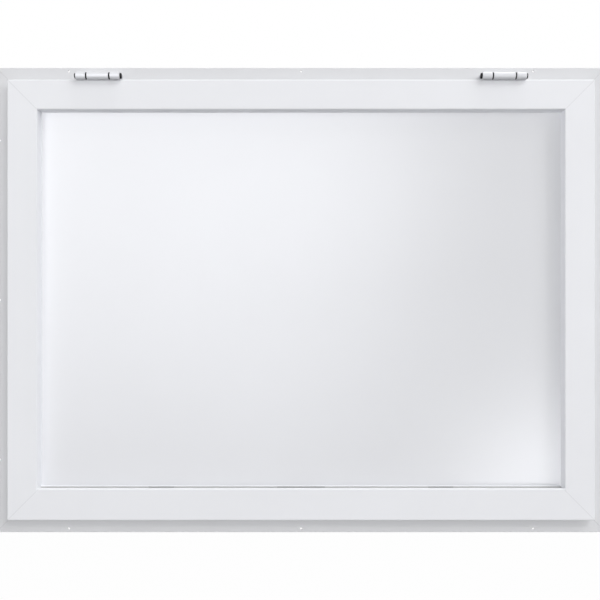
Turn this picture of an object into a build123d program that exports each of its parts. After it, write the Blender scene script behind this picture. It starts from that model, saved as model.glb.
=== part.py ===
"""Concession window: a top-hung serving hatch in a flanged frame for a wall opening.

X runs along the window, +Y goes into the wall and +Z up. The flange's back lies on the plane
y = 0, and z = 0 is the underside of the frame's sill, where it sits in the wall opening.
"""

from build123d import *
import os
from math import cos, radians, sin

# Hatch, seen from outside
HATCH_WIDTH = 1219.2
HATCH_HEIGHT = 914.4

# Hatch extrusion
RAIL_FACE = 62.0
LIP_THICKNESS = 10.0
RAIL_WALL = 2.0
REVEAL_WALL = 3.0
OUTER_EDGE_RADIUS = 2.0
INNER_EDGE_RADIUS = 2.5
PANEL_RECESS = 26.0
REBATE_DEPTH = 14.0

# Infill panel and what holds it
PANEL_THICKNESS = 4.0
PANEL_PLAY = 2.0
GASKET_THICKNESS = 1.5
GASKET_SHOWS = 1.0
BEAD_WIDTH = 12.5
BEAD_DEPTH = 8.5
BEAD_WALL = 1.5
BEAD_RADIUS = 3.0

# Raised ledge of the bottom rail, with a gutter and drain slots between its lip and its back strip
LEDGE_RISE = 3.3
LEDGE_LIP = 7.7
LEDGE_STRIP = 4.0
LEDGE_EDGE_RADIUS = 1.0
LEDGE_PLAY = 0.2
GUTTER_DEPTH = 7.0
GUTTER_WALL = 1.6
DRAIN_WIDTH = 5.0
DRAIN_MIDDLE_LENGTH = 100.0
DRAIN_SIDE_LENGTH = 53.0
DRAIN_FROM_END = 315.6

# Frame extrusion
FLANGE_REACH = 30.0
FLANGE_THICKNESS = 2.5
FLANGE_EDGE_RADIUS = 1.0
FRAME_SETBACK = 18.0
FRAME_WALL = 2.0
STOP_WIDTH = 20.0
STOP_DEPTH = 24.5

# Fine line that shows on the front where two mitred bars meet
MITRE_LINE_WIDTH = 0.3
MITRE_LINE_DEPTH = 0.4

# Screw holes in the flange
SCREW_HOLE_RADIUS = 2.2
SCREW_HOLE_INSET = 7.6
SCREW_FROM_CORNER = 152.4

# Running room between the hatch and the frame
LIP_GAP = 8.0
BODY_GAP = 7.0
STOP_GAP = 6.0

# Weather seal
SEAL_WIDTH = 9.0
SEAL_WALL = 1.2
SEAL_FOOT = 1.6
SEAL_CLEARANCE = 0.3

# Hinges
HINGE_FROM_END = 190.5
KNUCKLE_RADIUS = 8.0
KNUCKLE_EDGE = 0.5
MIDDLE_KNUCKLE = 44.4
END_KNUCKLE = 20.2
WASHER_RADIUS = 7.2
WASHER_THICKNESS = 2.4
KNUCKLE_PLAY = 0.3
PIN_RADIUS = 3.5
PIN_CLEARANCE = 0.05
CAP_RADIUS = 5.9
CAP_THICKNESS = 3.0
CAP_EDGE = 0.9
BARREL_CLEARANCE = 1.3
BARREL_ANGLE = 41.0
LEAF_THICKNESS = 2.5
LEAF_CLEARANCE = 1.0
LEAF_DROP = 7.0
LEAF_BEND_RADIUS = 2.0
LEAF_HOLE_RADIUS = 1.7
LEAF_HOLE_PITCH = 34.0

# Planes that follow from these sizes: y across the wall, z up it
FLANGE_FRONT = -FLANGE_THICKNESS
LIP_BACK = FLANGE_FRONT - LIP_GAP
HATCH_FRONT = LIP_BACK - LIP_THICKNESS
PANEL_FRONT = HATCH_FRONT + PANEL_RECESS
PANEL_BACK = PANEL_FRONT + PANEL_THICKNESS
BEAD_FRONT = PANEL_BACK + GASKET_THICKNESS
HATCH_BACK = BEAD_FRONT + BEAD_DEPTH
STOP_FRONT = HATCH_BACK + STOP_GAP
FRAME_BACK = STOP_FRONT + STOP_DEPTH
HATCH_BOTTOM = -FRAME_SETBACK
HATCH_TOP = HATCH_BOTTOM + HATCH_HEIGHT
HATCH_MIDDLE = HATCH_BOTTOM + HATCH_HEIGHT / 2

# Distances inwards from the hatch's outer edge
WEB_INNER = FRAME_SETBACK + FRAME_WALL
STOP_INNER = WEB_INNER + STOP_WIDTH
BODY_OUTER = WEB_INNER + BODY_GAP
REBATE_FLOOR = RAIL_FACE - REBATE_DEPTH
PANEL_EDGE = REBATE_FLOOR + PANEL_PLAY
BEAD_INNER = REBATE_FLOOR + BEAD_WIDTH

# Hinge axis, clear of the rounded top edge of the hatch
HINGE_OFFSET = HATCH_WIDTH / 2 - HINGE_FROM_END
AXIS_TO_EDGE = KNUCKLE_RADIUS + OUTER_EDGE_RADIUS + BARREL_CLEARANCE
HINGE_RISE = AXIS_TO_EDGE * sin(radians(BARREL_ANGLE)) - OUTER_EDGE_RADIUS
HINGE_STANDOFF = AXIS_TO_EDGE * cos(radians(BARREL_ANGLE)) - OUTER_EDGE_RADIUS
AXIS_Y = HATCH_FRONT - HINGE_STANDOFF
AXIS_Z = HATCH_TOP + HINGE_RISE
WASHER_SPACE = WASHER_THICKNESS + 2 * KNUCKLE_PLAY
END_KNUCKLE_START = MIDDLE_KNUCKLE / 2 + WASHER_SPACE
BARREL_HALF = END_KNUCKLE_START + END_KNUCKLE
LEAF_SETBACK = KNUCKLE_RADIUS + LEAF_CLEARANCE

# Each side of the window: where the middle of its hatch edge is, the way along it, the way
# inwards from it and half its length
SIDES = {
    "top": ((0, 0, HATCH_TOP), (1, 0, 0), (0, 0, -1), HATCH_WIDTH / 2),
    "bottom": ((0, 0, HATCH_BOTTOM), (-1, 0, 0), (0, 0, 1), HATCH_WIDTH / 2),
    "left": ((-HATCH_WIDTH / 2, 0, HATCH_MIDDLE), (0, 0, 1), (1, 0, 0), HATCH_HEIGHT / 2),
    "right": ((HATCH_WIDTH / 2, 0, HATCH_MIDDLE), (0, 0, -1), (-1, 0, 0), HATCH_HEIGHT / 2),
}


def rectangle(u0, u1, y0, y1):
    """A rectangle of a section: u is the distance inwards from the hatch's edge, y the depth."""
    return Pos(u0, y0) * Rectangle(u1 - u0, y1 - y0, align=(Align.MIN, Align.MIN))


def outline(*points):
    """The face inside a closed run of straight lines."""
    return make_face(Polyline(*points, close=True))


def rounded(section, corners):
    """The section with the corners at the given points rounded to the given radii."""
    for point, radius in corners:
        section = fillet(section.vertices().sort_by_distance(point)[0], radius)
    return section


def mitred_room(side, outer, inner, y0, y1, short=0.0):
    """The room for one side's bar between two depths, with 45-degree ends cut short by an amount."""
    middle, along, inwards, half = SIDES[side]
    corners = [
        (-half + outer + short, outer),
        (half - outer - short, outer),
        (half - inner - short, inner),
        (-half + inner + short, inner),
    ]
    points = [Vector(middle) + Vector(along) * a + Vector(inwards) * u for a, u in corners]
    return extrude(Pos(0, y0, 0) * outline(*points), y1 - y0, dir=(0, 1, 0))


def mitred_bar(section, side, lined=False):
    """A length of an extrusion for one side, cut at 45 degrees where it meets its neighbours."""
    middle, along, inwards, half = SIDES[side]
    box = section.bounding_box()
    outer, inner = box.min.X, box.max.X
    stock_half = half - outer
    stock = extrude(Plane(middle, x_dir=inwards, z_dir=along) * section, stock_half, both=True)
    front, back = box.min.Y, box.max.Y
    if not lined:
        return stock & mitred_room(side, outer, inner, front, back)
    line_back = front + MITRE_LINE_DEPTH
    room = mitred_room(side, outer, inner, front, line_back, MITRE_LINE_WIDTH * cos(radians(45)))
    return stock & (room + mitred_room(side, outer, inner, line_back, back))


def bore(x, z, radius, y0, y1):
    """A round cutter along Y between two depths."""
    return Pos(x, 0, z) * extrude(Plane.XZ.offset(-y0) * Circle(radius), y0 - y1)


def frame_section():
    """Flange on the wall, web through it and a hollow stop behind the hatch."""
    section = outline(
        (-FLANGE_REACH, FLANGE_FRONT),
        (WEB_INNER, FLANGE_FRONT),
        (WEB_INNER, STOP_FRONT),
        (STOP_INNER, STOP_FRONT),
        (STOP_INNER, FRAME_BACK),
        (FRAME_SETBACK, FRAME_BACK),
        (FRAME_SETBACK, 0),
        (-FLANGE_REACH, 0),
    )
    section -= rectangle(
        WEB_INNER, STOP_INNER - FRAME_WALL, STOP_FRONT + FRAME_WALL, FRAME_BACK - FRAME_WALL
    )
    return rounded(
        section,
        [
            ((-FLANGE_REACH, FLANGE_FRONT), FLANGE_EDGE_RADIUS),
            ((WEB_INNER, FLANGE_FRONT), FLANGE_EDGE_RADIUS),
            ((STOP_INNER, STOP_FRONT), FLANGE_EDGE_RADIUS),
            ((STOP_INNER, FRAME_BACK), FLANGE_EDGE_RADIUS),
        ],
    )


def frame_bar(side):
    """One side of the frame with its three flange screw holes."""
    bar = mitred_bar(frame_section(), side, lined=True)
    middle, along, inwards, half = SIDES[side]
    pitch = half + FLANGE_REACH - SCREW_FROM_CORNER
    row = Vector(middle) + Vector(inwards) * (SCREW_HOLE_INSET - FLANGE_REACH)
    for step in (-pitch, 0, pitch):
        place = row + Vector(along) * step
        bar -= bore(place.X, place.Z, SCREW_HOLE_RADIUS, 2 * FLANGE_FRONT, FLANGE_THICKNESS)
    return bar


def seal_section():
    """A hollow bulb on a flat foot, just short of the closed hatch's lip."""
    foot_inner = WEB_INNER - FLANGE_EDGE_RADIUS
    foot_outer = foot_inner - SEAL_WIDTH
    front = LIP_BACK + SEAL_CLEARANCE
    bulb = (FLANGE_FRONT - SEAL_FOOT / 2 - front) / 2
    middle = Pos((foot_outer + foot_inner) / 2, front + bulb)
    section = rectangle(foot_outer, foot_inner, FLANGE_FRONT - SEAL_FOOT, FLANGE_FRONT)
    section += middle * Circle(bulb)
    return section - middle * Circle(bulb - SEAL_WALL)


def rail_section():
    """A lip over the frame, a hollow body inside it and a deep reveal in front of the panel."""
    section = outline(
        (0, HATCH_FRONT),
        (RAIL_FACE, HATCH_FRONT),
        (RAIL_FACE, PANEL_FRONT),
        (REBATE_FLOOR, PANEL_FRONT),
        (REBATE_FLOOR, HATCH_BACK),
        (BODY_OUTER, HATCH_BACK),
        (BODY_OUTER, LIP_BACK),
        (0, LIP_BACK),
    )
    front = HATCH_FRONT + RAIL_WALL
    middle = LIP_BACK - RAIL_WALL
    section -= rectangle(RAIL_WALL, RAIL_FACE - REVEAL_WALL, front, middle)
    body_inner = REBATE_FLOOR - RAIL_WALL
    section -= rectangle(BODY_OUTER + RAIL_WALL, body_inner, LIP_BACK, HATCH_BACK - RAIL_WALL)
    section -= rectangle(
        REBATE_FLOOR, RAIL_FACE - REVEAL_WALL, LIP_BACK, PANEL_FRONT - RAIL_WALL
    )
    return rounded(
        section,
        [
            ((0, HATCH_FRONT), OUTER_EDGE_RADIUS),
            ((RAIL_FACE, HATCH_FRONT), INNER_EDGE_RADIUS),
        ],
    )


def raised_ledge(front, back):
    """The lip and the back strip on either side of the gutter, from stile to stile."""
    top = RAIL_FACE + LEDGE_RISE
    root = RAIL_FACE - INNER_EDGE_RADIUS
    lip = rectangle(root, top, HATCH_FRONT, front)
    lip = rounded(lip, [((top, HATCH_FRONT), LEDGE_EDGE_RADIUS)])
    strip = rectangle(root, top, back, PANEL_FRONT)
    middle, along, inwards, half = SIDES["bottom"]
    place = Plane(middle, x_dir=inwards, z_dir=along)
    length = half - RAIL_FACE - LEDGE_PLAY
    return extrude(place * lip, length, both=True) + extrude(place * strip, length, both=True)


def bottom_rail():
    """The bottom rail, whose raised ledge has a gutter with three drain slots in its floor."""
    front = HATCH_FRONT + LEDGE_LIP
    back = PANEL_FRONT - LEDGE_STRIP
    floor = RAIL_FACE - GUTTER_DEPTH
    section = rail_section()
    section += rectangle(
        floor - GUTTER_WALL, RAIL_FACE - REVEAL_WALL, front - GUTTER_WALL, back + GUTTER_WALL
    )
    section -= rectangle(floor, RAIL_FACE, front, back)
    rail = mitred_bar(section, "bottom", lined=True) + raised_ledge(front, back)
    ledge = HATCH_BOTTOM + floor
    slot_middle = (front + back) / 2
    pitch = HATCH_WIDTH / 2 - DRAIN_FROM_END
    for along, length in (
        (-pitch, DRAIN_SIDE_LENGTH),
        (0, DRAIN_MIDDLE_LENGTH),
        (pitch, DRAIN_SIDE_LENGTH),
    ):
        slot = extrude(SlotOverall(length, DRAIN_WIDTH), 2 * GUTTER_WALL, both=True)
        rail -= Pos(along, slot_middle, ledge) * slot
    return rail


def infill_panel():
    """The flat sheet that fills the hatch, held in the rebate."""
    width = HATCH_WIDTH - 2 * PANEL_EDGE
    height = HATCH_HEIGHT - 2 * PANEL_EDGE
    place = Pos(0, (PANEL_FRONT + PANEL_BACK) / 2, HATCH_MIDDLE)
    return place * Box(width, PANEL_THICKNESS, height)


def gasket_section():
    """A flat rubber strip between the panel's back and a bead."""
    return rectangle(PANEL_EDGE, BEAD_INNER + GASKET_SHOWS, PANEL_BACK, BEAD_FRONT)


def bead_section():
    """A hollow snap-in bead with a rounded inner corner."""
    section = rectangle(REBATE_FLOOR, BEAD_INNER, BEAD_FRONT, HATCH_BACK)
    section = rounded(section, [((BEAD_INNER, HATCH_BACK), BEAD_RADIUS)])
    return section - rectangle(
        REBATE_FLOOR + BEAD_WALL, BEAD_INNER - BEAD_RADIUS, BEAD_FRONT + BEAD_WALL,
        HATCH_BACK - BEAD_WALL,
    )


def barrel(x0, x1, radius):
    """A cylinder on the hinge axis, between two distances along it."""
    return Pos(x0, AXIS_Y, AXIS_Z) * extrude(Plane.YZ * Circle(radius), x1 - x0)


def knuckle(x0, x1):
    """One solid roll of a hinge's barrel, with its two rims bevelled."""
    roll = barrel(x0, x1, KNUCKLE_RADIUS)
    return chamfer(roll.edges().filter_by(GeomType.CIRCLE), KNUCKLE_EDGE)


def block(x0, x1, y0, y1, z0, z1):
    """A box between two opposite corners."""
    return Pos((x0 + x1) / 2, (y0 + y1) / 2, (z0 + z1) / 2) * Box(x1 - x0, y1 - y0, z1 - z0)


def hatch_leaf():
    """The middle knuckle and the leaf that lies on the top edge of the hatch."""
    half = MIDDLE_KNUCKLE / 2
    leaf_top = HATCH_TOP + LEAF_THICKNESS
    leaf_start = AXIS_Y + LEAF_SETBACK
    leaf = knuckle(-half, half)
    leaf += block(-half, half, AXIS_Y, LIP_BACK, HATCH_TOP, leaf_top)
    leaf += block(-BARREL_HALF, BARREL_HALF, leaf_start, LIP_BACK, HATCH_TOP, leaf_top)
    leaf -= barrel(-half, half, PIN_RADIUS + PIN_CLEARANCE)
    hole_y = (leaf_start + LIP_BACK) / 2
    for x in (-LEAF_HOLE_PITCH, 0, LEAF_HOLE_PITCH):
        leaf -= Pos(x, hole_y, HATCH_TOP) * Cylinder(LEAF_HOLE_RADIUS, 3 * LEAF_THICKNESS)
    return leaf


def frame_leaf():
    """The end knuckles and a leaf that runs back over the hatch and turns down on the flange."""
    top = AXIS_Z + KNUCKLE_RADIUS
    under = top - LEAF_THICKNESS
    face = FLANGE_FRONT - LEAF_THICKNESS
    foot = HATCH_TOP - LEAF_DROP
    start = AXIS_Y + LEAF_SETBACK
    corner = outline(
        (start, under), (face, under), (face, foot), (FLANGE_FRONT, foot), (FLANGE_FRONT, top), (start, top)
    )
    corner = rounded(
        corner,
        [((face, under), LEAF_BEND_RADIUS), ((FLANGE_FRONT, top), LEAF_BEND_RADIUS + LEAF_THICKNESS)],
    )
    leaf = extrude(Plane.YZ * corner, BARREL_HALF, both=True)
    for x0, x1 in ((-BARREL_HALF, -END_KNUCKLE_START), (END_KNUCKLE_START, BARREL_HALF)):
        leaf += knuckle(x0, x1)
        leaf += block(x0, x1, AXIS_Y, start, under, top)
        leaf -= barrel(x0, x1, PIN_RADIUS + PIN_CLEARANCE)
    hole_z = (foot + under) / 2
    for x in (-LEAF_HOLE_PITCH, 0, LEAF_HOLE_PITCH):
        leaf -= bore(x, hole_z, LEAF_HOLE_RADIUS, face - LEAF_THICKNESS, FLANGE_FRONT + LEAF_THICKNESS)
    return leaf


def hinge_pin():
    """The straight pin through all three knuckles."""
    return barrel(-BARREL_HALF, BARREL_HALF, PIN_RADIUS)


def hinge_washers():
    """A dark washer in each space between the knuckles."""
    near = MIDDLE_KNUCKLE / 2 + KNUCKLE_PLAY
    far = near + WASHER_THICKNESS
    pair = barrel(near, far, WASHER_RADIUS) + barrel(-far, -near, WASHER_RADIUS)
    return pair - barrel(-far, far, PIN_RADIUS + PIN_CLEARANCE)


def hinge_caps():
    """A dark cap over each end of the pin, bevelled at its rim."""
    far = BARREL_HALF + CAP_THICKNESS
    right = barrel(BARREL_HALF, far, CAP_RADIUS)
    right = chamfer(right.edges().sort_by(Axis.X)[-1], CAP_EDGE)
    left = barrel(-far, -BARREL_HALF, CAP_RADIUS)
    left = chamfer(left.edges().sort_by(Axis.X)[0], CAP_EDGE)
    return left + right


def all_pieces():
    """Every piece of the window, by its name."""
    pieces = {
        "frame_head": frame_bar("top"),
        "frame_sill": frame_bar("bottom"),
        "frame_jamb_left": frame_bar("left"),
        "frame_jamb_right": frame_bar("right"),
        "hatch_top_rail": mitred_bar(rail_section(), "top", lined=True),
        "hatch_bottom_rail": bottom_rail(),
        "hatch_stile_left": mitred_bar(rail_section(), "left", lined=True),
        "hatch_stile_right": mitred_bar(rail_section(), "right", lined=True),
        "infill_panel": infill_panel(),
    }
    for side in SIDES:
        pieces["seal_" + side] = mitred_bar(seal_section(), side)
        pieces["gasket_" + side] = mitred_bar(gasket_section(), side)
        pieces["bead_" + side] = mitred_bar(bead_section(), side)
    for hand, x in (("left", -HINGE_OFFSET), ("right", HINGE_OFFSET)):
        pieces[f"hinge_{hand}_frame_leaf"] = Pos(x, 0, 0) * frame_leaf()
        pieces[f"hinge_{hand}_hatch_leaf"] = Pos(x, 0, 0) * hatch_leaf()
        pieces[f"hinge_{hand}_pin"] = Pos(x, 0, 0) * hinge_pin()
        pieces[f"hinge_{hand}_washers"] = Pos(x, 0, 0) * hinge_washers()
        pieces[f"hinge_{hand}_caps"] = Pos(x, 0, 0) * hinge_caps()
    return pieces


def main():
    os.makedirs("parts", exist_ok=True)
    for name, piece in all_pieces().items():
        export_step(piece, f"parts/{name}.step")


if __name__ == "__main__":
    main()
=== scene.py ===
"""Looks for a concession window: a lift-up serving hatch in a flanged frame for a wall opening.

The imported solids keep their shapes. This file gives each of them its finish, fits the hinge
screws, and sets the stage: floor, lights, reflection cards and camera.
"""

import math

import bmesh
import bpy
from bpy.props import FloatProperty, FloatVectorProperty, PointerProperty
from mathutils import Matrix, Vector


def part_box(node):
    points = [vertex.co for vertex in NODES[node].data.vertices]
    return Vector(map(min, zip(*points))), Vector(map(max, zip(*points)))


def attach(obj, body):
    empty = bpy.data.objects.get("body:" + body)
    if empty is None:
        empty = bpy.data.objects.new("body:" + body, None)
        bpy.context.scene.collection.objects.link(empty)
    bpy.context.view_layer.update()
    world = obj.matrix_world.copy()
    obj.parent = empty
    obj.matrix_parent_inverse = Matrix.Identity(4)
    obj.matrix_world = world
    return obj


bl_info = {
    "name": "Concession window",
    "version": (1, 0, 0),
    "blender": (4, 5, 0),
    "location": "View3D > Sidebar > Window",
    "description": "Finishes, hinge screws and stage for a lift-up serving hatch",
    "category": "Object",
}

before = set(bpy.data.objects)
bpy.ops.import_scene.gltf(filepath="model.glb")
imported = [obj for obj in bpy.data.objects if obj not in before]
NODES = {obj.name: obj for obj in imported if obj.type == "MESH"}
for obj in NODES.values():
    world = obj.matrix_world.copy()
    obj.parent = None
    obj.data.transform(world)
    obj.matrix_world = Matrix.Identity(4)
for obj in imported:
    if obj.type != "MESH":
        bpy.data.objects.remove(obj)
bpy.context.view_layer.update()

SIDES = ("top", "bottom", "left", "right")
HANDS = ("left", "right")

# Places of the sockets of Blender's mix node that carry a colour mix
MIX_SHARE, MIX_UNDER, MIX_OVER, MIX_RESULT = 0, 6, 7, 2

# Lights no further than this from straight ahead stay out of reflections, in degrees
FRONT_SECTOR = 45

# Name, azimuth and elevation in degrees, size in metres, power in watts, whether it casts shadows, and
# what it reaches: all, the bars (everything but the panel) or the panel alone
SOFT_LIGHTS = (
    ("right_low_light", 60, 15, 4.0, 235.0, True, "all"),
    ("right_light", 60, 42, 4.0, 285.0, True, "all"),
    ("right_high_light", 60, 80, 4.0, 560.0, True, "all"),
    ("left_fill_light", -50, 15, 4.0, 510.0, False, "all"),
    ("key_light", 30, 42, 4.0, 375.0, True, "bars"),
    ("front_light", 8, 8, 2.4, 362.0, True, "bars"),
    ("panel_front_light", 8, 8, 2.4, 268.0, False, "panel"),
    ("panel_side_light", 38, 0, 8.0, 490.0, True, "panel"),
    ("back_left_light", -145, 3, 2.0, 600.0, True, "all"),
    ("back_right_light", 145, 3, 2.0, 600.0, True, "all"),
)

# Name, place (sideways, front to back, and up from the hatch's middle), width and height in metres,
# glow at the foot, glow at the top, and tilt in degrees
REFLECTION_CARDS = (
    ("card_left", (-0.88, -1.8, 0.1), 3.4, 3.4, 0.0, 4.8, 12.0),
    ("card_low_right", (1.48, -1.75, -1.17), 1.9, 1.6, 6.1, 6.1, 0.0),
)


def colour_setting(name, description, default):
    """A colour that a user can change."""
    return FloatVectorProperty(
        name=name, description=description, default=default, subtype="COLOR", size=3, min=0.0, max=1.0
    )


def length_setting(name, description, default):
    """A length or a place in metres."""
    return FloatProperty(
        name=name, description=description, default=default, unit="LENGTH", precision=5
    )


def share_setting(name, description, default):
    """A number from 0 to 1."""
    return FloatProperty(
        name=name, description=description, default=default, subtype="FACTOR", min=0.0, max=1.0
    )


def strength_setting(name, description, default):
    """A number without a unit that isn't below 0."""
    return FloatProperty(name=name, description=description, default=default, min=0.0)


class CoatSettings(bpy.types.PropertyGroup):
    """Powder coat on the extrusions, and the painted shade in the ledge's gutter"""

    hatch_colour: colour_setting("Hatch colour", "Powder coat of the hatch", (0.83, 0.838, 0.868))
    frame_colour: colour_setting("Frame colour", "Powder coat of the frame", (0.70, 0.705, 0.724))
    tone_size: length_setting("Tone size", "Distance between paler and darker areas", 0.11)
    tone_change: share_setting("Tone change", "How far the tone wanders either way", 0.007)
    roughness: share_setting("Roughness", "How matt the coat is", 0.46)
    roughness_change: share_setting("Roughness change", "How far the roughness wanders", 0.05)
    speckle_size: length_setting("Speckle", "Distance between duller and glossier specks", 0.004)
    refraction: strength_setting("Refraction", "Index of refraction of the coat", 1.36)
    peel_size: length_setting("Orange peel", "Distance between the coat's fine ripples", 0.0016)
    peel_height: length_setting("Peel height", "Height of the coat's fine ripples", 0.00002)
    seam_width: length_setting("Seam width", "Width of the dark seam at a mitre", 0.0009)
    seam_shade: share_setting("Seam shade", "Brightness of the coat in a mitre's seam", 0.84)
    # Painted shade: the gutter colour stands in for the shadow inside the ledge's gutter; the lip,
    # strip and reach below set where it is painted
    painted_gutter_shade: colour_setting("Painted gutter shade", "Painted shade in the ledge's gutter", (0.54, 0.542, 0.545))
    ledge_lip: length_setting("Ledge lip", "Depth of the ledge in front of its gutter", 0.0077)
    ledge_strip: length_setting("Ledge strip", "Depth of the ledge behind its gutter", 0.004)
    gutter_reach: length_setting("Gutter reach", "How far down the gutter's painted shade goes", 0.0121)
    # Painted shade: the drain colour darkens the gutter further at the drain slots, standing in for
    # their shadow
    painted_drain_shade: colour_setting("Drain", "Painted shade at the drain slots", (0.43, 0.432, 0.435))
    drain_pitch: length_setting("Drain pitch", "From the middle drain slot to an outer one", 0.294)
    drain_middle: length_setting("Middle drain", "Length of the middle drain slot", 0.1)
    drain_side: length_setting("Side drains", "Length of the outer drain slots", 0.053)


class PanelSettings(bpy.types.PropertyGroup):
    """The sheet that fills the hatch"""

    colour: colour_setting("Colour", "White of the sheet", (0.71, 0.717, 0.744))
    tone_size: length_setting("Tone size", "Distance between paler and darker areas", 0.3)
    tone_change: share_setting("Tone change", "How far the tone wanders either way", 0.01)
    roughness: share_setting("Roughness", "How matt the sheet is under its gloss", 0.34)
    wipe_width: length_setting("Wipe width", "Distance between the wiping marks", 0.012)
    wipe_length: strength_setting("Wipe length", "Length of a wiping mark in widths", 14.0)
    gloss: share_setting("Gloss coat", "Weight of the clear gloss on the sheet", 0.9)
    gloss_roughness: share_setting("Gloss roughness", "How soft reflections in the gloss are", 0.22)
    wave_size: length_setting("Wave size", "Distance between the sheet's shallow waves", 0.24)
    wave_height: length_setting("Wave height", "Height of the sheet's shallow waves", 0.0004)
    grain_size: length_setting("Grain", "Distance between the sheet's fine grains", 0.0025)
    grain_height: length_setting("Grain height", "Height of the sheet's fine grains", 0.000008)


class HingeSettings(bpy.types.PropertyGroup):
    """Hinges and the screws in their leaves"""

    metal_colour: colour_setting("Metal", "Brushed metal of the leaves", (0.62, 0.626, 0.65))
    metal_roughness: share_setting("Metal roughness", "How matt the metal is", 0.45)
    metal_share: share_setting("Metal share", "How much the brushed leaves mirror as bare metal", 0.2)
    brush_width: length_setting("Brush width", "Distance between the brush's lines", 0.00035)
    brush_length: strength_setting("Brush length", "Length of a brush line in widths", 60.0)
    brush_height: length_setting("Brush height", "Height of the brush's lines", 0.000003)
    steel_dark: colour_setting("Dark steel", "Darker lines of pins and screws", (0.5, 0.505, 0.52))
    steel_light: colour_setting("Light steel", "Paler lines of pins and screws", (0.6, 0.605, 0.61))
    turning_size: length_setting("Turning", "Distance between the steel's turned lines", 0.0004)
    turning_length: strength_setting("Turning length", "Length of a turned line in widths", 8.0)
    nylon_colour: colour_setting("Nylon", "Washers and end caps", (0.012, 0.012, 0.013))
    nylon_gloss: share_setting("Nylon gloss", "Strength of the nylon's reflections", 0.2)
    nylon_grain: length_setting("Nylon grain", "Distance between the nylon's fine grains", 0.0006)
    nylon_relief: length_setting("Nylon relief", "Height of the nylon's fine grains", 0.00001)
    leaf_thickness: length_setting("Leaf thickness", "Thickness of a hinge leaf", 0.0025)
    leaf_start: length_setting("Leaf start", "From the pin's axis to the hatch leaf's flat", 0.009)
    screw_pitch: length_setting("Screw pitch", "From a leaf's middle screw to the outer ones", 0.034)
    head_diameter: length_setting("Screw head", "Diameter of a screw's head", 0.0062)
    head_height: length_setting("Head height", "How far a screw's head stands up", 0.0021)


class SealSettings(bpy.types.PropertyGroup):
    """Rubber seals and gaskets"""

    colour: colour_setting("Colour", "Black rubber", (0.022, 0.022, 0.023))
    roughness: share_setting("Roughness", "How matt the rubber is", 0.72)
    roughness_change: share_setting("Roughness change", "How far the roughness wanders", 0.08)
    bloom_size: length_setting("Bloom", "Distance between paler patches on the rubber", 0.03)
    grain_size: length_setting("Grain", "Distance between the rubber's fine grains", 0.0007)
    grain_height: length_setting("Grain height", "Height of the rubber's fine grains", 0.00002)


class StageSettings(bpy.types.PropertyGroup):
    """Floor, lights, reflection cards and camera"""

    camera_distance: length_setting("Camera distance", "From the hatch's face to the camera", 1.5)
    view_width: length_setting("View width", "Width seen at the hatch's face", 1.244)
    camera_sideways: length_setting("Camera sideways", "Camera's place along the window", -0.0022)
    floor_drop: length_setting("Floor drop", "From the frame's lowest edge down to the floor", 0.42)
    floor_size: length_setting("Floor size", "Length of the floor's sides", 14.0)
    floor_tone: share_setting("Floor tone", "How much light the floor throws back", 0.32)
    floor_white: share_setting("Floor white", "How near the floor's look is to plain white", 0.985)
    ambient: strength_setting("Ambient", "Even light from all round", 0.165)
    lamp_distance: length_setting("Lamp distance", "From the hatch's face to the soft lights", 12.0)
    lamp_level: strength_setting("Lamp level", "Brightness of all the soft lights together", 0.885)
    card_colour: colour_setting("Card colour", "Glow of the reflection cards", (0.96, 0.97, 1.0))
    card_core: share_setting("Card core", "Part of a card's half width before its glow fades", 0.45)


class WindowSettings(bpy.types.PropertyGroup):
    """All settings of the concession window"""

    coat: PointerProperty(type=CoatSettings)
    panel: PointerProperty(type=PanelSettings)
    hinge: PointerProperty(type=HingeSettings)
    seal: PointerProperty(type=SealSettings)
    stage: PointerProperty(type=StageSettings)


def add(tree, kind, inputs=None, **settings):
    """A new shader node with its settings and the fixed values of its inputs."""
    made = tree.nodes.new(kind)
    for name, value in settings.items():
        setattr(made, name, value)
    for name, value in (inputs or {}).items():
        made.inputs[name].default_value = value
    return made


def new_finish(name):
    """A new material, its node tree, its shader and the place on the piece in metres."""
    material = bpy.data.materials.new(name)
    material.use_nodes = True
    tree = material.node_tree
    place = add(tree, "ShaderNodeTexCoord").outputs["Object"]
    return material, tree, tree.nodes["Principled BSDF"], place


def noise(tree, place, size, stretch=(1.0, 1.0, 1.0), detail=2.0):
    """Smooth noise whose features are about size apart, longer along an axis stretched above 1."""
    scaled = add(tree, "ShaderNodeMapping", {"Scale": [1.0 / (size * s) for s in stretch]})
    tree.links.new(place, scaled.inputs["Vector"])
    made = add(tree, "ShaderNodeTexNoise", {"Scale": 1.0, "Detail": detail, "Roughness": 0.5})
    tree.links.new(scaled.outputs["Vector"], made.inputs["Vector"])
    return made.outputs["Fac"]


def stretched(tree, source, taken, given, **settings):
    """A number moved from the range it is taken from to the range it is given, and kept inside it."""
    values = {"From Min": taken[0], "From Max": taken[1], "To Min": given[0], "To Max": given[1]}
    made = add(tree, "ShaderNodeMapRange", values, **settings)
    tree.links.new(source, made.inputs["Value"])
    return made.outputs["Result"]


def shades(tree, source, dark, light, socket):
    """Feeds the socket a colour that wanders between two shades."""
    ramp = add(tree, "ShaderNodeValToRGB")
    low, high = ramp.color_ramp.elements
    low.position, high.position = 0.3, 0.7
    low.color, high.color = (*dark, 1.0), (*light, 1.0)
    tree.links.new(source, ramp.inputs["Fac"])
    tree.links.new(ramp.outputs["Color"], socket)


def spread(tree, source, low, high, socket):
    """Feeds the socket a number that wanders between two values."""
    tree.links.new(stretched(tree, source, (0.25, 0.75), (low, high)), socket)


def relief(tree, source, height, socket, under=None):
    """Feeds the socket a bump of the given height in metres, on top of another one if there is one."""
    bump = add(tree, "ShaderNodeBump", {"Strength": 1.0, "Distance": height})
    tree.links.new(source, bump.inputs["Height"])
    if under is not None:
        tree.links.new(under, bump.inputs["Normal"])
    tree.links.new(bump.outputs["Normal"], socket)
    return bump.outputs["Normal"]


def tinted(colour, factor):
    """The colour made a little darker or lighter."""
    return tuple(min(1.0, channel * factor) for channel in colour)


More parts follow.
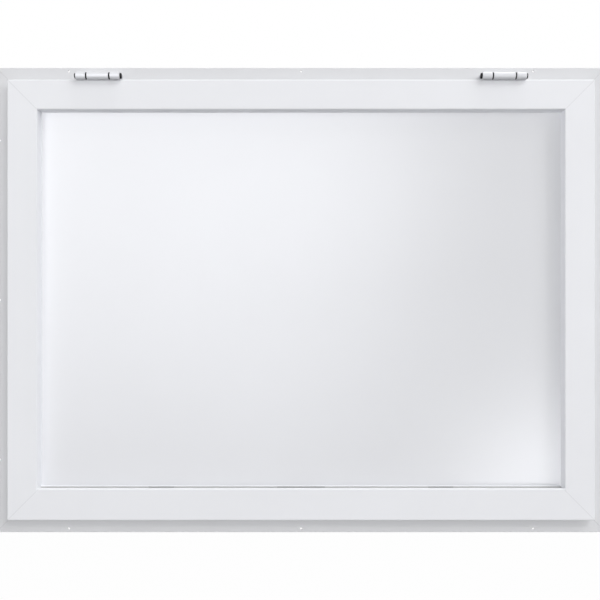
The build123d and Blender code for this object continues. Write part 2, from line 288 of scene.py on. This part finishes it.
def axes(tree, place):
    """The three coordinates of a place, by the axis' name."""
    split = add(tree, "ShaderNodeSeparateXYZ")
    tree.links.new(place, split.inputs["Vector"])
    return split.outputs


def joined(tree, operation, one, other):
    """Two numbers put together by a step of arithmetic."""
    made = add(tree, "ShaderNodeMath", operation=operation)
    tree.links.new(one, made.inputs[0])
    tree.links.new(other, made.inputs[1])
    return made.outputs["Value"]


def distance(tree, source, middle):
    """How far a coordinate is from the middle, on either side."""
    offset = add(tree, "ShaderNodeMath", {1: middle}, operation="SUBTRACT")
    tree.links.new(source, offset.inputs[0])
    made = add(tree, "ShaderNodeMath", operation="ABSOLUTE")
    tree.links.new(offset.outputs["Value"], made.inputs[0])
    return made.outputs["Value"]


def within(tree, source, middle, half):
    """1 where a number is no more than half from the middle, 0 elsewhere."""
    made = add(tree, "ShaderNodeMath", {1: middle, 2: half}, operation="COMPARE")
    tree.links.new(source, made.inputs[0])
    return made.outputs["Value"]


def mitre_seam(tree, place, middle, offset, width):
    """1 on the lines where the bars meet at 45 degrees, 0 elsewhere. The lines are where the distance
    sideways from the window's middle is greater by the offset than the distance up or down."""
    axis = axes(tree, place)
    excess = joined(
        tree, "SUBTRACT", distance(tree, axis["X"], 0.0), distance(tree, axis["Z"], middle)
    )
    return within(tree, excess, offset, width / math.sqrt(2))


def darken_where(tree, shader, mask, colour):
    """Puts another colour over a finish wherever the mask is 1."""
    base = shader.inputs["Base Color"]
    mixed = add(tree, "ShaderNodeMix", {MIX_OVER: (*colour, 1.0)}, data_type="RGBA")
    tree.links.new(mask, mixed.inputs[MIX_SHARE])
    tree.links.new(base.links[0].from_socket, mixed.inputs[MIX_UNDER])
    tree.links.new(mixed.outputs[MIX_RESULT], base)


def powder_coat(name, colour, coat, low, high):
    """A satin film with fine orange peel, a faintly uneven tone and a dark seam at each mitre of the
    bars that fill the rectangle from low to high."""
    material, tree, shader, place = new_finish(name)
    broad = noise(tree, place, coat.tone_size, detail=3.0)
    dark, light = tinted(colour, 1 - coat.tone_change), tinted(colour, 1 + coat.tone_change)
    shades(tree, broad, dark, light, shader.inputs["Base Color"])
    offset = ((high.x - low.x) - (high.z - low.z)) / 2
    seam = mitre_seam(tree, place, (low.z + high.z) / 2, offset, coat.seam_width)
    darken_where(tree, shader, seam, tinted(colour, coat.seam_shade))
    speckle = noise(tree, place, coat.speckle_size, detail=3.0)
    smooth, rough = coat.roughness - coat.roughness_change, coat.roughness + coat.roughness_change
    spread(tree, speckle, smooth, rough, shader.inputs["Roughness"])
    shader.inputs["IOR"].default_value = coat.refraction
    peel = noise(tree, place, coat.peel_size)
    relief(tree, peel, coat.peel_height, shader.inputs["Normal"])
    return material


def paint_gutter_shade(material, front, back, floor, top, coat):
    """Paints shade into a coat inside the ledge's gutter, where the gutter's own shadow falls, and
    darker shade at the drain slots.
    """
    tree = material.node_tree
    shader = tree.nodes["Principled BSDF"]
    axis = axes(tree, add(tree, "ShaderNodeTexCoord").outputs["Object"])
    gutter = joined(
        tree, "MULTIPLY",
        within(tree, axis["Y"], (front + back) / 2, (back - front) / 2),
        within(tree, axis["Z"], (floor + top) / 2, (top - floor) / 2),
    )
    # Painted shade over the inside of the gutter
    darken_where(tree, shader, gutter, coat.painted_gutter_shade)
    # Darker painted shade where the drain slots are
    drains = joined(
        tree, "MAXIMUM",
        within(tree, axis["X"], 0.0, coat.drain_middle / 2),
        within(tree, distance(tree, axis["X"], 0.0), coat.drain_pitch, coat.drain_side / 2),
    )
    darken_where(tree, shader, joined(tree, "MULTIPLY", gutter, drains), coat.painted_drain_shade)


def gloss_sheet(panel):
    """A white sheet under clear gloss, almost flat, with faint wiping marks."""
    material, tree, shader, place = new_finish("panel_sheet_finish")
    broad = noise(tree, place, panel.tone_size)
    dark = tinted(panel.colour, 1 - panel.tone_change)
    light = tinted(panel.colour, 1 + panel.tone_change)
    shades(tree, broad, dark, light, shader.inputs["Base Color"])
    wiped = noise(tree, place, panel.wipe_width, stretch=(1.0, 1.0, panel.wipe_length), detail=4.0)
    smooth, rough = panel.roughness - 0.04, panel.roughness + 0.05
    spread(tree, wiped, smooth, rough, shader.inputs["Roughness"])
    shader.inputs["Coat Weight"].default_value = panel.gloss
    shader.inputs["Coat Roughness"].default_value = panel.gloss_roughness
    broad_waves = noise(tree, place, panel.wave_size, detail=0.0)
    waves = relief(tree, broad_waves, panel.wave_height, shader.inputs["Coat Normal"])
    grain = noise(tree, place, panel.grain_size)
    relief(tree, grain, panel.grain_height, shader.inputs["Normal"], under=waves)
    return material


def brushed_metal(hinge):
    """Light metal brushed along the hinge barrels."""
    material, tree, shader, place = new_finish("hinge_metal_finish")
    shader.inputs["Metallic"].default_value = hinge.metal_share
    lines = noise(tree, place, hinge.brush_width, stretch=(hinge.brush_length, 1.0, 1.0), detail=3.0)
    dark, light = tinted(hinge.metal_colour, 0.96), tinted(hinge.metal_colour, 1.03)
    shades(tree, lines, dark, light, shader.inputs["Base Color"])
    smooth, rough = hinge.metal_roughness - 0.05, hinge.metal_roughness + 0.07
    spread(tree, lines, smooth, rough, shader.inputs["Roughness"])
    relief(tree, lines, hinge.brush_height, shader.inputs["Normal"])
    return material


def plain_steel(hinge):
    """Turned steel of the hinge pins and the plated screws, made the first time it is asked for."""
    name = "pin_steel_finish"
    if name in bpy.data.materials:
        return bpy.data.materials[name]
    material, tree, shader, place = new_finish(name)
    shader.inputs["Metallic"].default_value = 1.0
    around = (1.0, hinge.turning_length, hinge.turning_length)
    turned = noise(tree, place, hinge.turning_size, stretch=around)
    shades(tree, turned, hinge.steel_dark, hinge.steel_light, shader.inputs["Base Color"])
    smooth, rough = 0.26, 0.38
    spread(tree, turned, smooth, rough, shader.inputs["Roughness"])
    return material


def black_nylon(hinge):
    """Moulded black nylon with a fine spark-eroded grain."""
    material, tree, shader, place = new_finish("black_nylon_finish")
    grain = noise(tree, place, hinge.nylon_grain)
    dark, light = tinted(hinge.nylon_colour, 0.85), tinted(hinge.nylon_colour, 1.25)
    shades(tree, grain, dark, light, shader.inputs["Base Color"])
    smooth, rough = 0.44, 0.56
    spread(tree, grain, smooth, rough, shader.inputs["Roughness"])
    shader.inputs["Specular IOR Level"].default_value = hinge.nylon_gloss
    relief(tree, grain, hinge.nylon_relief, shader.inputs["Normal"])
    return material


def black_rubber(seal):
    """Extruded black rubber, dull, with a fine grain and patches of paler bloom."""
    material, tree, shader, place = new_finish("black_rubber_finish")
    bloom = noise(tree, place, seal.bloom_size, detail=4.0)
    dark, light = tinted(seal.colour, 0.8), tinted(seal.colour, 1.5)
    shades(tree, bloom, dark, light, shader.inputs["Base Color"])
    grain = noise(tree, place, seal.grain_size)
    smooth, rough = seal.roughness - seal.roughness_change, seal.roughness + seal.roughness_change
    spread(tree, grain, smooth, rough, shader.inputs["Roughness"])
    relief(tree, grain, seal.grain_height, shader.inputs["Normal"])
    return material


def dress(material, *names):
    """Gives the named solids their finish."""
    for name in names:
        NODES[name].data.materials.clear()
        NODES[name].data.materials.append(material)


def screw_head(name, diameter, height):
    """A domed screw head without its recess, standing on z = 0 with its axis up."""
    mesh = bpy.data.meshes.new(name)
    form = bmesh.new()
    rings = 7
    around = 32
    radius = diameter / 2
    rim = 0.28 * height
    profile = [(radius, 0.0), (radius, rim)]
    for step in range(1, rings):
        turn = math.radians(90) * step / rings
        profile.append((radius * math.cos(turn), rim + (height - rim) * math.sin(turn)))
    loops = []
    for r, z in profile:
        loop = []
        for i in range(around):
            angle = 2 * math.pi * i / around
            loop.append(form.verts.new((r * math.cos(angle), r * math.sin(angle), z)))
        loops.append(loop)
    for lower, upper in zip(loops, loops[1:]):
        for i in range(around):
            j = (i + 1) % around
            form.faces.new((lower[i], lower[j], upper[j], upper[i]))
    form.faces.new(list(reversed(loops[0])))
    form.faces.new(loops[-1])
    for face in form.faces:
        face.smooth = True
    form.normal_update()
    form.to_mesh(mesh)
    form.free()
    return mesh


def cross_cutter(name, diameter, height):
    """The cross-shaped recess of a screw head, as a solid to take out of it."""
    mesh = bpy.data.meshes.new(name)
    form = bmesh.new()
    wide = 0.30 * diameter
    thin = 0.075 * diameter
    low, high = 0.35 * height, 1.2 * height
    taper = 0.55
    plan = [
        (wide, -thin), (wide, thin), (thin, thin), (thin, wide), (-thin, wide), (-thin, thin),
        (-wide, thin), (-wide, -thin), (-thin, -thin), (-thin, -wide), (thin, -wide), (thin, -thin),
    ]
    floor = [form.verts.new((taper * x, taper * y, low)) for x, y in plan]
    mouth = [form.verts.new((x, y, high)) for x, y in plan]
    form.faces.new(list(reversed(floor)))
    form.faces.new(mouth)
    for i in range(len(plan)):
        j = (i + 1) % len(plan)
        form.faces.new((floor[i], floor[j], mouth[j], mouth[i]))
    form.normal_update()
    form.to_mesh(mesh)
    form.free()
    return mesh


def recessed_head(hinge):
    """One screw head's mesh with its cross recess taken out."""
    size = (hinge.head_diameter, hinge.head_height)
    head = bpy.data.objects.new("head_blank", screw_head("head_blank", *size))
    cutter = bpy.data.objects.new("head_cutter", cross_cutter("head_cutter", *size))
    for made in (head, cutter):
        bpy.context.scene.collection.objects.link(made)
    cut = head.modifiers.new("recess", "BOOLEAN")
    cut.operation = "DIFFERENCE"
    cut.solver = "EXACT"
    cut.object = cutter
    bpy.context.view_layer.update()
    shaped = head.evaluated_get(bpy.context.evaluated_depsgraph_get())
    mesh = bpy.data.meshes.new_from_object(shaped)
    mesh.name = "screw_head"
    for made in (head, cutter):
        bpy.data.objects.remove(made)
    return mesh


def place_screw(mesh, name, where, turn, body):
    """A screw in a leaf's hole, moving with that body."""
    screw = bpy.data.objects.new(name, mesh)
    bpy.context.scene.collection.objects.link(screw)
    screw.matrix_world = Matrix.Translation(where) @ turn
    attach(screw, body)


class WINDOW_OT_coat_frame(bpy.types.Operator):
    """Powder-coats the four bars of the frame"""

    bl_idname = "window.coat_frame"
    bl_label = "Coat the frame"

    def execute(self, context):
        coat = context.scene.concession_window.coat
        low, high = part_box("frame_jamb_left")[0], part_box("frame_jamb_right")[1]
        finish = powder_coat("frame_coat_finish", coat.frame_colour, coat, low, high)
        dress(finish, "frame_head", "frame_sill", "frame_jamb_left", "frame_jamb_right")
        return {"FINISHED"}


class WINDOW_OT_coat_hatch(bpy.types.Operator):
    """Powder-coats the rails, the stiles and the beads of the hatch"""

    bl_idname = "window.coat_hatch"
    bl_label = "Coat the hatch"

    def execute(self, context):
        coat = context.scene.concession_window.coat
        low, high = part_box("hatch_stile_left")[0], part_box("hatch_stile_right")[1]
        finish = powder_coat("hatch_coat_finish", coat.hatch_colour, coat, low, high)
        dress(finish, "hatch_top_rail", "hatch_stile_left", "hatch_stile_right")
        dress(finish, *(f"bead_{side}" for side in SIDES))
        # The bottom rail's coat carries painted shade in its gutter and darker painted shade at the
        # drains
        ledge = powder_coat("hatch_ledge_painted_shade_finish", coat.hatch_colour, coat, low, high)
        lip = low.y + coat.ledge_lip
        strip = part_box("infill_panel")[0].y - coat.ledge_strip
        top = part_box("hatch_bottom_rail")[1].z
        slack = 0.0001
        paint_gutter_shade(ledge, lip - slack, strip + slack, top - coat.gutter_reach, top + slack, coat)
        dress(ledge, "hatch_bottom_rail")
        return {"FINISHED"}


class WINDOW_OT_finish_panel(bpy.types.Operator):
    """Gives the infill panel its gloss"""

    bl_idname = "window.finish_panel"
    bl_label = "Finish the panel"

    def execute(self, context):
        dress(gloss_sheet(context.scene.concession_window.panel), "infill_panel")
        return {"FINISHED"}


class WINDOW_OT_finish_hinges(bpy.types.Operator):
    """Brushes the hinge leaves and finishes the pins, washers and caps"""

    bl_idname = "window.finish_hinges"
    bl_label = "Finish the hinges"

    def execute(self, context):
        hinge = context.scene.concession_window.hinge
        metal = brushed_metal(hinge)
        nylon = black_nylon(hinge)
        steel = plain_steel(hinge)
        for hand in HANDS:
            dress(metal, f"hinge_{hand}_frame_leaf", f"hinge_{hand}_hatch_leaf")
            dress(nylon, f"hinge_{hand}_washers", f"hinge_{hand}_caps")
            dress(steel, f"hinge_{hand}_pin")
        return {"FINISHED"}


class WINDOW_OT_fit_hinge_screws(bpy.types.Operator):
    """Fits three screws in each leaf of the hinges"""

    bl_idname = "window.fit_hinge_screws"
    bl_label = "Fit the hinge screws"

    def execute(self, context):
        hinge = context.scene.concession_window.hinge
        head = recessed_head(hinge)
        head.materials.clear()
        head.materials.append(plain_steel(hinge))
        upright = Matrix.Identity(4)
        outwards = Matrix.Rotation(math.radians(90), 4, "X")
        leaf_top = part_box("hatch_top_rail")[1].z + hinge.leaf_thickness
        for hand in HANDS:
            pin_low, pin_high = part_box(f"hinge_{hand}_pin")
            axis = (pin_low + pin_high) / 2
            leaf_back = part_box(f"hinge_{hand}_hatch_leaf")[1].y
            leaf_middle = (axis.y + hinge.leaf_start + leaf_back) / 2
            low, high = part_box(f"hinge_{hand}_frame_leaf")
            flap_middle = (low.z + high.z - hinge.leaf_thickness) / 2
            flap_front = high.y - hinge.leaf_thickness
            for number, step in enumerate((-1, 0, 1), start=1):
                along = axis.x + step * hinge.screw_pitch
                where = Vector((along, leaf_middle, leaf_top))
                place_screw(head, f"hatch_leaf_screw_{hand}_{number}", where, upright, "hatch")
                where = Vector((along, flap_front, flap_middle))
                place_screw(head, f"frame_leaf_screw_{hand}_{number}", where, outwards, "frame")
        return {"FINISHED"}


class WINDOW_OT_finish_seals(bpy.types.Operator):
    """Finishes the weather seals and the gaskets as black rubber"""

    bl_idname = "window.finish_seals"
    bl_label = "Finish the seals"

    def execute(self, context):
        rubber = black_rubber(context.scene.concession_window.seal)
        dress(rubber, *(f"seal_{side}" for side in SIDES), *(f"gasket_{side}" for side in SIDES))
        return {"FINISHED"}


def white_to_the_eye(tree, lit, white):
    """Shows the white shader to camera, glossy and transmission rays and the lit one to the rest."""
    ray = add(tree, "ShaderNodeLightPath").outputs
    direct = joined(tree, "MAXIMUM", ray["Is Camera Ray"], ray["Is Glossy Ray"])
    seen = joined(tree, "MAXIMUM", direct, ray["Is Transmission Ray"])
    mixed = add(tree, "ShaderNodeMixShader")
    tree.links.new(seen, mixed.inputs["Fac"])
    tree.links.new(lit, mixed.inputs[1])
    tree.links.new(white, mixed.inputs[2])
    return mixed.outputs["Shader"]


def studio_world(ambient):
    """Even light all round, and a plain white background."""
    world = bpy.data.worlds.new("studio")
    world.use_nodes = True
    tree = world.node_tree
    tree.nodes.clear()
    even = add(tree, "ShaderNodeBackground", {"Color": (1.0, 1.0, 1.0, 1.0), "Strength": ambient})
    white = add(tree, "ShaderNodeBackground", {"Color": (1.0, 1.0, 1.0, 1.0), "Strength": 1.0})
    out = add(tree, "ShaderNodeOutputWorld")
    mixed = white_to_the_eye(tree, even.outputs["Background"], white.outputs["Background"])
    tree.links.new(mixed, out.inputs["Surface"])
    bpy.context.scene.world = world


def flat_sheet(name, width, depth):
    """A flat rectangle of the stage, facing up, with its middle at the origin."""
    mesh = bpy.data.meshes.new(name)
    x, y = width / 2, depth / 2
    mesh.from_pydata([(-x, -y, 0), (x, -y, 0), (x, y, 0), (-x, y, 0)], [], [(0, 1, 2, 3)])
    made = bpy.data.objects.new(name, mesh)
    bpy.context.scene.collection.objects.link(made)
    return made


def studio_floor(height, stage):
    """A pale floor that keeps the object's shadow and fades into the white background."""
    floor = flat_sheet("studio_floor", stage.floor_size, stage.floor_size)
    floor.location.z = height
    material = bpy.data.materials.new("studio_floor")
    material.use_nodes = True
    tree = material.node_tree
    tree.nodes.clear()
    grey = (stage.floor_tone, stage.floor_tone, stage.floor_tone, 1.0)
    matt = add(tree, "ShaderNodeBsdfDiffuse", {"Color": grey})
    white = add(tree, "ShaderNodeEmission", {"Color": (1.0, 1.0, 1.0, 1.0), "Strength": 1.0})
    pale = add(tree, "ShaderNodeMixShader", {"Fac": stage.floor_white})
    tree.links.new(matt.outputs["BSDF"], pale.inputs[1])
    tree.links.new(white.outputs["Emission"], pale.inputs[2])
    out = add(tree, "ShaderNodeOutputMaterial")
    mixed = white_to_the_eye(tree, matt.outputs["BSDF"], pale.outputs["Shader"])
    tree.links.new(mixed, out.inputs["Surface"])
    floor.data.materials.append(material)


def aim(thing, target):
    """Turns a light to a point."""
    toward = Vector(target) - thing.location
    thing.rotation_euler = toward.to_track_quat("-Z", "Y").to_euler()


def limit_reach(lamp, names, state):
    """Lets a light or a card reach only the named solids, or all but them."""
    group = bpy.data.collections.new(f"{lamp.name}_reach")
    for name in names:
        group.objects.link(NODES[name])
    for member in group.collection_objects:
        member.light_linking.link_state = state
    lamp.light_linking.receiver_collection = group


def soft_light(name, azimuth, elevation, size, power, shadow, reach, centre, stage):
    """A square soft light. Azimuth is measured from straight in front of the hatch to its right."""
    lamp = bpy.data.lights.new(name, "AREA")
    lamp.shape = "SQUARE"
    lamp.size = size
    lamp.energy = power * stage.lamp_level
    lamp.use_shadow = shadow
    made = bpy.data.objects.new(name, lamp)
    bpy.context.scene.collection.objects.link(made)
    turn, rise = math.radians(azimuth), math.radians(elevation)
    level = math.cos(rise)
    way = Vector((math.sin(turn) * level, -math.cos(turn) * level, math.sin(rise)))
    made.location = Vector(centre) + way * stage.lamp_distance
    aim(made, centre)
    made.visible_glossy = abs(azimuth) > FRONT_SECTOR
    if reach != "all":
        limit_reach(made, ["infill_panel"], "EXCLUDE" if reach == "bars" else "INCLUDE")


def reflection_card(name, place, width, height, low, high, tilt, stage):
    """An upright, see-through card that only reflections show. It adds a glow to what is behind it,
    which goes from low at its foot to high at its top and fades out at its border. The tilt leans it
    to the right, in degrees."""
    card = flat_sheet(name, width, height)
    card.matrix_world = (
        Matrix.Translation(place)
        @ Matrix.Rotation(math.radians(tilt), 4, "Y")
        @ Matrix.Rotation(math.radians(90), 4, "X")
    )
    for way in ("visible_camera", "visible_diffuse", "visible_shadow", "visible_transmission"):
        setattr(card, way, False)
    material = bpy.data.materials.new(name)
    material.use_nodes = True
    tree = material.node_tree
    tree.nodes.clear()
    spot = add(tree, "ShaderNodeMapping", {"Scale": (2.0 / width, 2.0 / height, 1.0)})
    tree.links.new(add(tree, "ShaderNodeTexCoord").outputs["Object"], spot.inputs["Vector"])
    axis = axes(tree, spot.outputs["Vector"])
    across, up = (
        stretched(
            tree, distance(tree, axis[name], 0.0), (1.0, stage.card_core), (0.0, 1.0),
            interpolation_type="SMOOTHSTEP",
        )
        for name in "XY"
    )
    level = stretched(tree, axis["Y"], (-1.0, 1.0), (low, high))
    strength = joined(tree, "MULTIPLY", level, joined(tree, "MULTIPLY", across, up))
    glow = add(tree, "ShaderNodeEmission", {"Color": (*stage.card_colour, 1.0)})
    tree.links.new(strength, glow.inputs["Strength"])
    lit = add(tree, "ShaderNodeAddShader")
    tree.links.new(add(tree, "ShaderNodeBsdfTransparent").outputs["BSDF"], lit.inputs[0])
    tree.links.new(glow.outputs["Emission"], lit.inputs[1])
    out = add(tree, "ShaderNodeOutputMaterial")
    tree.links.new(lit.outputs["Shader"], out.inputs["Surface"])
    card.data.materials.append(material)
    leaves = [f"hinge_{hand}_{body}_leaf" for hand in HANDS for body in ("frame", "hatch")]
    limit_reach(card, ["infill_panel", *leaves], "INCLUDE")


def leave_out_of_reflections(*names):
    """Keeps the named solids out of glossy reflections, where they would cut the panel's gleam."""
    for name in names:
        NODES[name].visible_glossy = False


def photo_camera(face, height, stage):
    """A level camera straight in front of the hatch."""
    lens = bpy.data.cameras.new("camera")
    lens.sensor_width = 36.0
    lens.lens = lens.sensor_width * stage.camera_distance / stage.view_width
    camera = bpy.data.objects.new("camera", lens)
    bpy.context.scene.collection.objects.link(camera)
    camera.location = (stage.camera_sideways, face - stage.camera_distance, height)
    camera.rotation_euler = (math.radians(90), 0.0, 0.0)
    bpy.context.scene.camera = camera


class WINDOW_OT_set_stage(bpy.types.Operator):
    """Sets the floor, the lights, the reflection cards and the camera"""

    bl_idname = "window.set_stage"
    bl_label = "Set the stage"

    def execute(self, context):
        stage = context.scene.concession_window.stage
        hatch_low, hatch_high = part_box("hatch_stile_left")
        face = hatch_low.y
        middle = (hatch_low.z + hatch_high.z) / 2
        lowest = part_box("frame_sill")[0].z
        context.scene.view_settings.view_transform = "Standard"
        studio_world(stage.ambient)
        studio_floor(lowest - stage.floor_drop, stage)
        centre = (0.0, face, middle)
        for light in SOFT_LIGHTS:
            soft_light(*light, centre, stage)
        for name, (x, y, z), *shape in REFLECTION_CARDS:
            reflection_card(name, (x, y, middle + z), *shape, stage)
        leave_out_of_reflections("hatch_top_rail", "hatch_stile_right")
        photo_camera(face, middle, stage)
        return {"FINISHED"}


OPERATORS = (
    WINDOW_OT_coat_frame,
    WINDOW_OT_coat_hatch,
    WINDOW_OT_finish_panel,
    WINDOW_OT_finish_hinges,
    WINDOW_OT_fit_hinge_screws,
    WINDOW_OT_finish_seals,
    WINDOW_OT_set_stage,
)


class WINDOW_PT_sidebar(bpy.types.Panel):
    """Settings and steps of the concession window"""

    bl_idname = "WINDOW_PT_sidebar"
    bl_label = "Concession window"
    bl_space_type = "VIEW_3D"
    bl_region_type = "UI"
    bl_category = "Window"

    def draw(self, context):
        window = context.scene.concession_window
        for group in (window.coat, window.panel, window.hinge, window.seal, window.stage):
            box = self.layout.box()
            for setting in group.bl_rna.properties:
                if setting.identifier not in {"name", "rna_type"}:
                    box.prop(group, setting.identifier)
        for step in OPERATORS:
            self.layout.operator(step.bl_idname)


CLASSES = (
    CoatSettings,
    PanelSettings,
    HingeSettings,
    SealSettings,
    StageSettings,
    WindowSettings,
    *OPERATORS,
    WINDOW_PT_sidebar,
)


def register():
    """Makes the settings, the steps and the sidebar known to Blender."""
    for made in CLASSES:
        bpy.utils.register_class(made)
    bpy.types.Scene.concession_window = PointerProperty(type=WindowSettings)


def unregister():
    """Takes back what register did."""
    del bpy.types.Scene.concession_window
    for made in reversed(CLASSES):
        bpy.utils.unregister_class(made)


def main():
    """Runs every step in order."""
    register()
    bpy.ops.window.coat_frame()
    bpy.ops.window.coat_hatch()
    bpy.ops.window.finish_panel()
    bpy.ops.window.finish_hinges()
    bpy.ops.window.fit_hinge_screws()
    bpy.ops.window.finish_seals()
    bpy.ops.window.set_stage()


if __name__ == "__main__":
    main()
